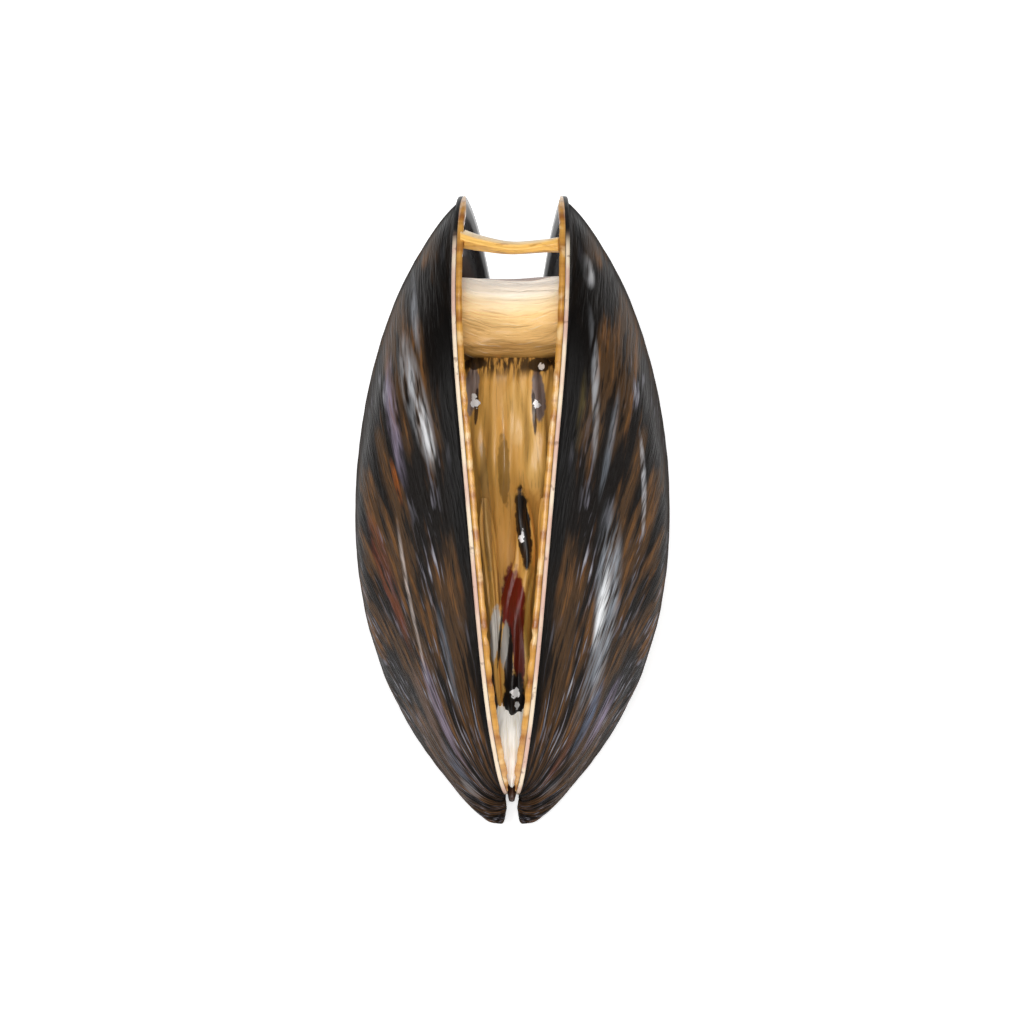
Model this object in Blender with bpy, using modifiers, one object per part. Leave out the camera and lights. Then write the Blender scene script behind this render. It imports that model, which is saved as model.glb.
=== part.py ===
"""An open mussel with its meat inside: two valves, the ligament that joins them and the soft parts.

The shell lies on its hinge side with the gape facing up and forward. Row axes: +X towards the right
valve, +Y along the hinge line from the beaks to the posterior end, +Z up; the origin is the centre of
the foot of the whole. Lengths are in metres, and soft parts are placed in the shell's own axes: along
it from beak to posterior end and towards its ventral side, both as fractions of LENGTH.

A valve is made the way it grows. Its margin is an open arc in the plane where the valves meet, and each
earlier growth stage is the same arc at a smaller scale, turned further out about the hinge line.
"""
import math

import bmesh
import bpy
from mathutils import Matrix, Vector
from mathutils.bvhtree import BVHTree

LENGTH = 0.075
WALL = 0.0010
BEAK_THICKENING = 0.7
LIP = 0.00075
LIP_RIDGE = 0.0006
GAP = 0.0003
MM = 0.001

HALF_GAPE = math.radians(8.54)
HINGE_PITCH = math.radians(35.0)
REST_PITCH = math.radians(2.75)
HINGE_START = 0.03

# Margin of a valve, in the shell's own axes, from under the beak round to the ligament's end.
MARGIN = ((0.120, -0.064), (0.075, -0.040), (0.046, -0.012), (0.055, 0.032), (0.095, 0.078),
          (0.180, 0.125), (0.300, 0.146), (0.450, 0.149), (0.600, 0.150), (0.720, 0.150),
          (0.820, 0.125), (0.910, 0.068), (0.975, 0.005), (1.000, -0.060), (0.985, -0.130),
          (0.940, -0.205), (0.880, -0.262), (0.795, -0.312), (0.705, -0.346), (0.615, -0.363),
          (0.540, -0.349), (0.480, -0.314), (0.420, -0.273))
MARGIN_FINENESS = 400
LIP_TAPER = 0.06

# Growth law: the turn of a young stage about the hinge line, and where its beak has curled to.
FULL_TURN = math.radians(75.15)
TURN_POWER = 0.8365
TURN_BEND = 0.4292
BEAK_OUT = 0.0120 * LENGTH
BEAK_BACK = 0.0407 * LENGTH
BEAK_DOWN = 0.0062 * LENGTH
BEAK_DOME = (25.0, 50.0, 72.0, 84.0)
BEAK_REACH = (-0.0009 * LENGTH, 0.0, -0.0120 * LENGTH)

VALVE_STAGES = (1.0, 0.975, 0.94, 0.89, 0.83, 0.75, 0.66, 0.56, 0.46, 0.36, 0.27, 0.19, 0.14, 0.11)
VALVE_STEPS = 42
CARDINAL_STAGE = 0.83
BEAK_STAGE = 0.45
BEAK_WALL = 0.22
FRONT_WALL = 0.25
LIP_STAGE = 0.86
HINGE_CLEARANCE = 0.45 * MM

MANTLE_STAGES = (1.0, 0.96, 0.88, 0.77, 0.64, 0.50)
MANTLE_ARC = (0.09, 0.58)
MANTLE_STEPS = 20
MANTLE_WALL = 0.75 * MM
MIDLINE_CLEARANCE = 0.35 * MM

# Soft parts that run along the shell: along, ventral, then across, half width and half depth in mm.
BODY = ((0.728, -0.060, -0.3, 3.6, 3.4), (0.705, -0.055, -0.3, 6.0, 5.6), (0.640, -0.050, -0.3, 7.0, 6.8),
        (0.560, -0.055, -0.3, 6.8, 7.2), (0.500, -0.085, -0.3, 6.2, 6.6), (0.420, -0.095, -0.2, 5.2, 5.4),
        (0.330, -0.086, 0.0, 3.9, 4.4), (0.250, -0.062, 0.0, 2.6, 3.1), (0.195, -0.045, 0.0, 1.2, 1.7))
FOOT = ((0.530, 0.030, 1.0, 0.4, 0.8), (0.490, 0.026, 1.1, 1.1, 1.9), (0.420, 0.026, 1.1, 1.5, 2.4),
        (0.340, 0.026, 0.9, 1.7, 2.5), (0.260, 0.022, 0.6, 1.6, 2.3), (0.200, 0.018, 0.4, 1.3, 1.9),
        (0.168, 0.014, 0.3, 0.6, 0.9))
LEFT_GILL = ((0.515, 0.030, -3.2, 0.3, 0.8), (0.470, 0.026, -3.0, 0.8, 2.6), (0.380, 0.022, -2.4, 0.8, 3.0),
             (0.290, 0.018, -1.9, 0.6, 2.7), (0.215, 0.012, -1.6, 0.4, 1.8), (0.185, 0.010, -1.4, 0.2, 0.7))
RIGHT_GILL = ((0.515, 0.020, 3.8, 0.3, 0.8), (0.470, 0.016, 3.8, 0.7, 2.4), (0.380, 0.012, 3.6, 0.7, 2.8),
              (0.290, 0.008, 3.2, 0.6, 2.5), (0.215, 0.004, 2.5, 0.4, 1.6), (0.185, 0.002, 2.2, 0.2, 0.7))
ANTERIOR_MUSCLE = ((0.152, 0.012, 0.0, 0.9, 1.6), (0.135, 0.014, 0.0, 1.6, 2.3),
                   (0.105, 0.008, 0.0, 1.2, 1.9), (0.078, 0.002, 0.0, 0.6, 1.0))

# Soft parts that span from valve to valve: across in mm, along, ventral, half length, half depth in mm.
POSTERIOR_MUSCLE = ((-9.0, 0.800, -0.070, 5.0, 6.4), (-5.0, 0.798, -0.066, 4.9, 6.2),
                    (0.0, 0.797, -0.064, 4.8, 6.0), (5.0, 0.798, -0.066, 4.9, 6.2),
                    (9.0, 0.800, -0.070, 5.0, 6.4))
SIPHON_BRIDGE = ((-6.2, 0.926, 0.030, 0.9, 1.5), (-4.0, 0.919, 0.026, 0.7, 1.3),
                 (0.0, 0.911, 0.020, 0.6, 1.2), (4.0, 0.914, 0.026, 0.7, 1.3),
                 (6.2, 0.916, 0.030, 0.9, 1.5))
MUSCLE_SIDES = 24
SOFT_SIDES = 14
END_GAP = 0.4 * MM

LIGAMENT_START = 0.075 * LENGTH
LIGAMENT_END = 0.455 * LENGTH
LIGAMENT_HALF_WIDTH = 0.2 * MM
LIGAMENT_HALF_DEPTH = 0.85 * MM
LIGAMENT_HEIGHT = 1.15 * MM
LIGAMENT_STATIONS = 6

COLOURS = {
    "shell": ((0.045, 0.032, 0.024), 0.32),
    "mantle": ((0.78, 0.45, 0.13), 0.35),
    "muscle": ((0.90, 0.72, 0.48), 0.40),
    "meat": ((0.62, 0.38, 0.13), 0.35),
    "foot": ((0.16, 0.03, 0.02), 0.25),
    "gill": ((0.62, 0.58, 0.52), 0.40),
    "ligament": ((0.07, 0.03, 0.015), 0.45),
}


def clear_scene():
    for obj in list(bpy.data.objects):
        bpy.data.objects.remove(obj, do_unlink=True)


def make_collection(name):
    collection = bpy.data.collections.new(name)
    bpy.context.scene.collection.children.link(collection)
    return collection


def make_material(name):
    colour, roughness = COLOURS[name]
    material = bpy.data.materials.new(name)
    material.use_nodes = True
    shader = material.node_tree.nodes["Principled BSDF"]
    shader.inputs["Base Color"].default_value = (*colour, 1.0)
    shader.inputs["Roughness"].default_value = roughness
    shader.inputs["Metallic"].default_value = 0.0
    return material


def row_turn(pitch):
    """Rotation into the row from a frame whose long axis stands at the given pitch over the hinge line."""
    return Matrix.Rotation(pitch - REST_PITCH, 3, "X")


def place(along, ventral, across=0.0):
    """Row position of a point in the shell's own axes."""
    return row_turn(HINGE_PITCH) @ Vector((across, (along - HINGE_START) * LENGTH, ventral * LENGTH))


def smooth_through(points, count):
    """Evenly spaced points on a Catmull-Rom curve through the given ones."""
    points = [Vector(point) for point in points]
    knots = [2 * points[0] - points[1], *points, 2 * points[-1] - points[-2]]
    fine = []
    samples = 24
    for p0, p1, p2, p3 in zip(knots, knots[1:], knots[2:], knots[3:]):
        for step in range(samples):
            t = step / samples
            fine.append(0.5 * (2 * p1 + (p2 - p0) * t + (2 * p0 - 5 * p1 + 4 * p2 - p3) * t ** 2
                               + (3 * p1 - p0 - 3 * p2 + p3) * t ** 3))
    fine.append(points[-1])
    reached = [0.0]
    for a, b in zip(fine, fine[1:]):
        reached.append(reached[-1] + (b - a).length)
    even = []
    index = 0
    for step in range(count + 1):
        goal = reached[-1] * step / count
        while index < len(reached) - 2 and reached[index + 1] < goal:
            index += 1
        share = (goal - reached[index]) / (reached[index + 1] - reached[index])
        even.append(fine[index].lerp(fine[index + 1], share))
    return even


def margin_points(arc, steps, inset):
    """Part of the margin in hinge axes, along the hinge and away from it, moved in from the edge."""
    whole = smooth_through(MARGIN, MARGIN_FINENESS)
    turn = Matrix.Rotation(HINGE_PITCH, 2)
    points = []
    for step in range(steps + 1):
        share = arc[0] + (arc[1] - arc[0]) * step / steps
        index = round(share * MARGIN_FINENESS)
        before, after = whole[max(index - 1, 0)], whole[min(index + 1, MARGIN_FINENESS)]
        tangent = (after - before).normalized()
        depth = inset * min(1.0, share / LIP_TAPER, (1.0 - share) / LIP_TAPER)
        edge = whole[index] * LENGTH - Vector((-tangent.y, tangent.x)) * depth
        points.append(turn @ (edge - Vector((HINGE_START * LENGTH, 0.0))))
    return points


def grown(point, stage):
    """Where a margin point lay at an earlier stage of growth, on the closed right valve."""
    young = 1.0 - stage
    turn = FULL_TURN * young ** TURN_POWER * (1.0 + TURN_BEND * young ** 2)
    curl = young ** 2
    return Vector((LIP + stage * point.y * math.sin(turn) + BEAK_OUT * curl,
                   stage * point.x - BEAK_BACK * curl,
                   stage * point.y * math.cos(turn) - BEAK_DOWN * curl))


def wall_share(stage):
    """Thickness of the wall at a growth stage as a share of WALL: thin at the lip, thick near the beak."""
    at_lip = min(1.0, max(0.0, (stage - LIP_STAGE) / (1.0 - LIP_STAGE)))
    thick = 1.0 + BEAK_THICKENING * (1.0 - stage) - (1.0 - LIP / WALL) * at_lip
    return thick * min(1.0, stage / BEAK_STAGE)


def new_verts(extruded):
    return {item for item in extruded["geom"] if isinstance(item, bmesh.types.BMVert)}


def next_ring(bm, ring, edges):
    """Extrudes a ring or an arc of edges and returns its new vertices in the old order."""
    fresh = new_verts(bmesh.ops.extrude_edge_only(bm, edges=edges))
    return [next(e.other_vert(old) for e in old.link_edges if e.other_vert(old) in fresh) for old in ring]


def growth_sheet(stages, arc, steps):
    """Outer sheet of the closed right valve: the margin extruded from stage to stage towards the beak."""
    bm = bmesh.new()
    share = bm.verts.layers.float.new("wall")
    ring = [bm.verts.new((LIP, point.x, point.y)) for point in margin_points(arc, steps, 0.0)]
    edges = [bm.edges.new(pair) for pair in zip(ring, ring[1:])]
    for vert in ring:
        vert[share] = wall_share(1.0)
    rings = [ring]
    foot_of_lip = margin_points(arc, steps, LIP_RIDGE)
    for stage in stages:
        ring = next_ring(bm, ring, edges)
        edges = [bm.edges.get(pair) for pair in zip(ring, ring[1:])]
        for step, (vert, point) in enumerate(zip(ring, foot_of_lip)):
            vert.co = grown(point, stage)
            front = FRONT_WALL + (1.0 - FRONT_WALL) * step / (0.2 * steps)
            vert[share] = wall_share(stage) * min(1.0, stage + front)
        rings.append(ring)
    return bm, rings


def close_beak(bm, rings):
    """Domes the beak over the youngest stage, and closes the narrow area between the ends of the arcs."""
    young = [ring for stage, ring in zip(VALVE_STAGES, rings[1:]) if stage <= CARDINAL_STAGE]
    for older, younger in zip(young, young[1:]):
        bm.faces.new((older[0], older[-1], younger[-1], younger[0]))
    share = bm.verts.layers.float["wall"]
    ring = rings[-1]
    foot = [vert.co.copy() for vert in ring]
    centre = sum(foot, Vector()) / len(foot)
    for angle in BEAK_DOME:
        edges = [bm.edges.get(pair) for pair in zip(ring, ring[1:] + ring[:1])]
        ring = next_ring(bm, ring, edges)
        rise, spread = math.sin(math.radians(angle)), math.cos(math.radians(angle))
        for vert, start in zip(ring, foot):
            vert.co = centre + (start - centre) * spread + Vector(BEAK_REACH) * rise
            vert[share] = BEAK_WALL
    bm.faces.new(ring)


def thicken(bm, thickness, depth=None):
    """Sinks an outward-facing sheet by depth(wall share) and gives it a wall on its inner side."""
    share = bm.verts.layers.float["wall"]
    bmesh.ops.recalc_face_normals(bm, faces=bm.faces)
    bm.normal_update()
    if depth:
        normals = [vert.normal.copy() for vert in bm.verts]
        for vert, normal in zip(bm.verts, normals):
            vert.co -= normal * depth(vert[share])
    shares = [vert[share] for vert in bm.verts]
    mesh = bpy.data.meshes.new("sheet")
    bm.to_mesh(mesh)
    bm.free()
    obj = bpy.data.objects.new("sheet", mesh)
    bpy.context.scene.collection.objects.link(obj)
    group = obj.vertex_groups.new(name="wall")
    for index, weight in enumerate(shares):
        group.add([index], weight, "REPLACE")
    solidify = obj.modifiers.new("wall", "SOLIDIFY")
    solidify.thickness = thickness
    solidify.offset = -1.0
    solidify.vertex_group = "wall"
    solidify.use_rim = True
    solid = bmesh.new()
    solid.from_mesh(obj.evaluated_get(bpy.context.evaluated_depsgraph_get()).to_mesh())
    bpy.data.objects.remove(obj, do_unlink=True)
    bpy.data.meshes.remove(mesh)
    return solid


def open_out(bm):
    """Turns the closed right valve out by half the gape, and into the row axes."""
    turn = row_turn(0.0) @ Matrix.Rotation(HALF_GAPE, 3, "Y")
    bmesh.ops.transform(bm, matrix=turn.to_4x4(), verts=bm.verts)


def cut_at_midline(bm, clearance):
    """Cuts off what comes nearer to the midline than the clearance, and closes the cut."""
    cut = bmesh.ops.bisect_plane(bm, geom=[*bm.verts, *bm.edges, *bm.faces], dist=1e-6, clear_outer=True,
                                 plane_co=(clearance, 0.0, 0.0), plane_no=(-1.0, 0.0, 0.0))["geom_cut"]
    rims = [item for item in cut if isinstance(item, bmesh.types.BMEdge) and item.is_boundary]
    bmesh.ops.holes_fill(bm, edges=rims)
    bmesh.ops.remove_doubles(bm, verts=bm.verts, dist=2e-6)
    bmesh.ops.triangulate(bm, faces=bm.faces)


def make_valve():
    bm, rings = growth_sheet(VALVE_STAGES, (0.0, 1.0), VALVE_STEPS)
    close_beak(bm, rings)
    solid = thicken(bm, WALL)
    open_out(solid)
    cut_at_midline(solid, HINGE_CLEARANCE)
    return solid


def make_mantle():
    """One mantle lobe: a sheet that lines a valve from just inside its lip."""
    bm, _ = growth_sheet(MANTLE_STAGES, MANTLE_ARC, MANTLE_STEPS)
    solid = thicken(bm, MANTLE_WALL, lambda share: WALL * share + GAP)
    open_out(solid)
    cut_at_midline(solid, MIDLINE_CLEARANCE)
    return solid


def mirrored(bm):
    """A copy of a right-hand solid on the left of the midline."""
    other = bm.copy()
    bmesh.ops.scale(other, vec=(-1.0, 1.0, 1.0), verts=other.verts)
    bmesh.ops.reverse_faces(other, faces=other.faces)
    return other


def loft(stations, sides):
    """Closed body through oval sections, each given as its centre and its two half axes."""
    bm = bmesh.new()
    ring = bmesh.ops.create_circle(bm, segments=sides, radius=1.0, cap_ends=False)["verts"]
    circle = [vert.co.copy() for vert in ring]
    for index, (centre, first, second) in enumerate(stations):
        if index:
            edges = [bm.edges.get(pair) for pair in zip(ring, ring[1:] + ring[:1])]
            ring = next_ring(bm, ring, edges)
        for vert, unit in zip(ring, circle):
            vert.co = centre + first * unit.x + second * unit.y
    bmesh.ops.holes_fill(bm, edges=bm.edges)
    bmesh.ops.recalc_face_normals(bm, faces=bm.faces)
    return bm


def long_body(stations):
    """Soft part along the shell, from a table of along, ventral, across, half width and half depth."""
    ventral = (place(0.0, 1.0) - place(0.0, 0.0)).normalized()
    rings = [(place(along, height, across * MM), Vector((width * MM, 0.0, 0.0)), ventral * depth * MM)
             for along, height, across, width, depth in stations]
    return loft(rings, SOFT_SIDES)


def spanning_body(stations, sides, walls):
    """Soft part from valve to valve, whose two flat ends stop a gap short of the nearest wall."""
    ventral = (place(0.0, 1.0) - place(0.0, 0.0)).normalized()
    axis = (place(1.0, 0.0) - place(0.0, 0.0)).normalized()
    rings = [(place(along, height, across * MM), axis * length * MM, ventral * depth * MM)
             for across, along, height, length, depth in stations]
    bm = loft(rings, sides)
    for side, end in ((-1.0, stations[0][0] * MM), (1.0, stations[-1][0] * MM)):
        ring = [vert for vert in bm.verts if abs(vert.co.x - end) < GAP]
        reaches = [tree.ray_cast((0.0, vert.co.y, vert.co.z), (side, 0.0, 0.0))[3]
                   for vert in ring for tree in walls]
        reach = min(distance for distance in reaches if distance) - END_GAP
        for vert in ring:
            vert.co.x = side * reach
    return bm


def make_ligament():
    """Dark strip between the valves' dorsal edges."""
    rings = []
    for index in range(LIGAMENT_STATIONS):
        share = index / (LIGAMENT_STATIONS - 1)
        swell = 0.45 + 0.55 * math.sin(math.pi * share) ** 0.5 if 0.0 < share < 1.0 else 0.45
        along = LIGAMENT_START + (LIGAMENT_END - LIGAMENT_START) * share
        centre = row_turn(0.0) @ Vector((0.0, along, LIGAMENT_HEIGHT))
        rings.append((centre, Vector((LIGAMENT_HALF_WIDTH, 0.0, 0.0)),
                      Vector((0.0, 0.0, LIGAMENT_HALF_DEPTH * swell))))
    return loft(rings, SOFT_SIDES)


def set_on_origin(solids):
    """Moves the whole so that the centre of its foot is the origin."""
    points = [vert.co for _, bm, _ in solids for vert in bm.verts]
    low = Vector([min(point[axis] for point in points) for axis in range(3)])
    high = Vector([max(point[axis] for point in points) for axis in range(3)])
    shift = Vector((-(low.x + high.x) / 2, -(low.y + high.y) / 2, -low.z))
    for _, bm, _ in solids:
        bmesh.ops.translate(bm, vec=shift, verts=bm.verts)


def build():
    clear_scene()
    valve, mantle = make_valve(), make_mantle()
    left_valve, left_mantle = mirrored(valve), mirrored(mantle)
    walls = [BVHTree.FromBMesh(bm) for bm in (valve, left_valve, mantle, left_mantle)]
    solids = [("left_valve", left_valve, "shell"),
              ("right_valve", valve, "shell"),
              ("ligament", make_ligament(), "ligament"),
              ("left_mantle", left_mantle, "mantle"),
              ("right_mantle", mantle, "mantle"),
              ("posterior_muscle", spanning_body(POSTERIOR_MUSCLE, MUSCLE_SIDES, walls), "muscle"),
              ("anterior_muscle", long_body(ANTERIOR_MUSCLE), "muscle"),
              ("siphon_bridge", spanning_body(SIPHON_BRIDGE, SOFT_SIDES, walls), "mantle"),
              ("body", long_body(BODY), "meat"),
              ("foot", long_body(FOOT), "foot"),
              ("left_gill", long_body(LEFT_GILL), "gill"),
              ("right_gill", long_body(RIGHT_GILL), "gill")]
    set_on_origin(solids)
    collection = make_collection("mussel")
    materials = {name: make_material(name) for name in COLOURS}
    for name, bm, finish in solids:
        mesh = bpy.data.meshes.new(name)
        bm.to_mesh(mesh)
        bm.free()
        mesh.materials.append(materials[finish])
        mesh.shade_smooth()
        mesh.set_sharp_from_angle(angle=math.radians(40.0))
        collection.objects.link(bpy.data.objects.new(name, mesh))


build()
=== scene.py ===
"""The looks of an open, cooked mussel: two glossy dark valves with the golden meat between them.

The row's axes are the frame's: +X towards the right valve, +Y along the hinge line from the beaks to the
posterior end, +Z up. Soft parts are placed in the shell's own axes: along it from beak to posterior end and
towards its ventral side, both as fractions of its length, and across it in millimetres.
"""

import logging
import math
from dataclasses import dataclass
from enum import Enum
from typing import Callable, Iterable, Sequence

import bmesh
import bpy
from mathutils import Matrix, Vector, noise
from mathutils.bvhtree import BVHTree


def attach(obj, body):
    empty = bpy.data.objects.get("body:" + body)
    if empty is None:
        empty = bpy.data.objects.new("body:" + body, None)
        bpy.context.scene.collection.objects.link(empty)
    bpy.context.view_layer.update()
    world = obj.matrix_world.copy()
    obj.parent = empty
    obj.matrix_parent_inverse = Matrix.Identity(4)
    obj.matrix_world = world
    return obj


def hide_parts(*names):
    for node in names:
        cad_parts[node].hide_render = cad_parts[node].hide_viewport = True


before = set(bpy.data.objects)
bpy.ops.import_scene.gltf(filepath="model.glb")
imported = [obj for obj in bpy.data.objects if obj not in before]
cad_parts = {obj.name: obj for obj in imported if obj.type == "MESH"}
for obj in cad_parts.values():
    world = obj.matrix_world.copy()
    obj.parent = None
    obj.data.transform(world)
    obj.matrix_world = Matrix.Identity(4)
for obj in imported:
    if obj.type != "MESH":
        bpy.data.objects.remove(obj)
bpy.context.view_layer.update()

MM = 0.001
ROOT = "root"
UV_NAME = "growth"
FACING = "facing"
# Shares of the length where the inner walls under the siphon bridge carry a dark brown band, a stain
# deepened as painted shade, and its soft edge.
STAIN_AND_SHADE_BAND = (0.862, 0.908, 0.006)
WELD = 1e-6

log = logging.getLogger("mussel")

Colour = tuple[float, float, float, float]
Section = tuple[float, float, float, float, float]
Point = Vector | float
Layer = tuple["Signal", str]


def tint(code: str) -> Colour:
    """Turns a six-digit colour code into a linear colour.

    Args:
        code: Red, green and blue as two hexadecimal digits each.

    Returns:
        The colour with an alpha of one.
    """
    channels = [int(code[i:i + 2], 16) / 255 for i in (0, 2, 4)]
    linear = [c / 12.92 if c <= 0.04045 else ((c + 0.055) / 1.055) ** 2.4 for c in channels]
    return (*linear, 1.0)


class Signal:
    """A number that varies over a surface, written with ordinary operators."""

    def __init__(self, board: "Board", socket: bpy.types.NodeSocket) -> None:
        """Keeps the node socket that carries the number."""
        self.board = board
        self.socket = socket

    def _math(self, operation: str, *values: "Signal | float") -> "Signal":
        """Adds one Math node.

        Args:
            operation: The Math node's operation.
            *values: Its inputs, in order.

        Returns:
            The node's result.
        """
        node = self.board.node("ShaderNodeMath", {"operation": operation}, dict(enumerate(values)))
        return Signal(self.board, node.outputs[0])

    def __add__(self, other: "Signal | float") -> "Signal":
        """Sum."""
        return self._math("ADD", self, other)

    __radd__ = __add__

    def __mul__(self, other: "Signal | float") -> "Signal":
        """Product."""
        return self._math("MULTIPLY", self, other)

    __rmul__ = __mul__

    def __sub__(self, other: "Signal | float") -> "Signal":
        """Difference."""
        return self._math("SUBTRACT", self, other)

    def __rsub__(self, other: float) -> "Signal":
        """Difference from a number."""
        return self._math("SUBTRACT", other, self)

    def __abs__(self) -> "Signal":
        """Size without its sign."""
        return self._math("ABSOLUTE", self)

    def rise(self, low: float, high: float) -> "Signal":
        """Smooth step.

        Args:
            low: Where the result is zero.
            high: Where the result is one; below low, the step falls instead.

        Returns:
            The step, from zero to one.
        """
        ends = (low, high, 0.0, 1.0) if low < high else (high, low, 1.0, 0.0)
        inputs = dict(zip(("Value", "From Min", "From Max", "To Min", "To Max"), (self, *ends)))
        node = self.board.node("ShaderNodeMapRange", {"interpolation_type": "SMOOTHSTEP"}, inputs)
        return Signal(self.board, node.outputs[0])

    def band(self, low: float, high: float, soft: float) -> "Signal":
        """One between two limits and zero outside, with soft edges."""
        return self.rise(low - soft, low + soft) * self.rise(high + soft, high - soft)


class Board:
    """A material's node tree."""

    def __init__(self, name: str) -> None:
        """Starts an empty material.

        Args:
            name: The material's name.
        """
        self.material = bpy.data.materials.new(name)
        self.material.use_nodes = True
        self.tree = self.material.node_tree
        self.tree.nodes.clear()

    def node(self, kind: str, settings: dict | None = None, inputs: dict | None = None) -> bpy.types.Node:
        """Adds one node.

        Args:
            kind: The node's type.
            settings: Properties that are set before the sockets.
            inputs: Values or links by socket name or number.

        Returns:
            The new node.
        """
        made = self.tree.nodes.new(kind)
        for key, value in (settings or {}).items():
            setattr(made, key, value)
        for key, value in (inputs or {}).items():
            if isinstance(value, Signal):
                self.tree.links.new(value.socket, made.inputs[key])
            elif isinstance(value, bpy.types.NodeSocket):
                self.tree.links.new(value, made.inputs[key])
            else:
                made.inputs[key].default_value = value
        return made

    def point(self) -> bpy.types.NodeSocket:
        """Place on the piece, in the row's axes."""
        return self.node("ShaderNodeTexCoord").outputs["Object"]

    def parts(self, vector: bpy.types.NodeSocket) -> list[Signal]:
        """The three parts of a vector."""
        return [Signal(self, part) for part in self.node("ShaderNodeSeparateXYZ", {}, {0: vector}).outputs]

    def growth(self) -> tuple[Signal, Signal]:
        """Share of the way round the margin, and stage of growth, from the piece's own map."""
        around, stage, _ = self.parts(self.node("ShaderNodeUVMap", {"uv_map": UV_NAME}).outputs[0])
        return around, stage

    def facing(self) -> Signal:
        """How squarely the wall faces the gape's side, from the piece's own attribute."""
        return Signal(self, self.node("ShaderNodeAttribute", {"attribute_name": FACING}).outputs["Fac"])

    def vector(self, *parts: Signal | float) -> bpy.types.NodeSocket:
        """A vector from its three parts."""
        return self.node("ShaderNodeCombineXYZ", {}, dict(enumerate(parts))).outputs[0]

    def reach(self, vector: bpy.types.NodeSocket, direction: Vector, start: Vector, unit: float) -> Signal:
        """How far a point lies from a start along a direction.

        Args:
            vector: The point.
            direction: Unit vector to measure along.
            start: Where the measure is zero.
            unit: Length that counts as one.

        Returns:
            The distance in units.
        """
        inputs = {0: vector, 1: tuple(direction)}
        dot = self.node("ShaderNodeVectorMath", {"operation": "DOT_PRODUCT"}, inputs)
        return Signal(self, dot.outputs["Value"]) * (1.0 / unit) - direction.dot(start) / unit

    def noise(self, vector: bpy.types.NodeSocket, scale: float, detail: float = 2.0,
              rough: float = 0.5) -> Signal:
        """Noise between zero and one, around a half."""
        inputs = {"Vector": vector, "Scale": scale, "Detail": detail, "Roughness": rough}
        return Signal(self, self.node("ShaderNodeTexNoise", {}, inputs).outputs[0])

    def grain(self, *parts: Signal | float, detail: float = 2.0, rough: float = 0.5) -> Signal:
        """Noise over a vector given by its parts."""
        return self.noise(self.vector(*parts), 1.0, detail, rough)

    def mix(self, share: Signal, first: object, second: object) -> bpy.types.NodeSocket:
        """A colour between two others, each a colour or a link; the share is the second one's."""
        return self.node("ShaderNodeMix", {"data_type": "RGBA"}, {0: share, 6: first, 7: second}).outputs[2]

    def layered(self, base: str | bpy.types.NodeSocket, *layers: Layer) -> bpy.types.NodeSocket:
        """Colours painted over one another.

        Args:
            base: Colour code or link of the lowest one.
            *layers: How much of each next colour shows, and its code.

        Returns:
            The mixed colour.
        """
        colour = tint(base) if isinstance(base, str) else base
        for share, code in layers:
            colour = self.mix(share, colour, tint(code))
        return colour

    def ramp(self, share: Signal, stops: Sequence[tuple[float, str]]) -> bpy.types.NodeSocket:
        """A colour that changes along a number.

        Args:
            share: The number, read from zero to one.
            stops: Place and colour code of each stop.

        Returns:
            The colour.
        """
        made = self.node("ShaderNodeValToRGB")
        elements = made.color_ramp.elements
        while len(elements) < len(stops):
            elements.new(0.5)
        for element, (place, code) in zip(elements, stops):
            element.position = place
            element.color = tint(code)
        self.tree.links.new(share.socket, made.inputs[0])
        return made.outputs[0]

    def bump(self, height: Signal, depth: float) -> bpy.types.NodeSocket:
        """A normal that follows a height of one in depth metres."""
        return self.node("ShaderNodeBump", {}, {"Height": height, "Distance": depth}).outputs[0]

    def finish(self, constants: dict[str, float], **varying: object) -> bpy.types.Material:
        """Ends the tree in a Principled shader.

        Args:
            constants: Values of sockets that are the same all over.
            **varying: Links by socket name, with an underscore for each space.

        Returns:
            The material.
        """
        inputs = {**constants, **{key.replace("_", " "): value for key, value in varying.items()}}
        shader = self.node("ShaderNodeBsdfPrincipled", {}, inputs)
        self.node("ShaderNodeOutputMaterial", {}, {"Surface": shader.outputs[0]})
        return self.material


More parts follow.
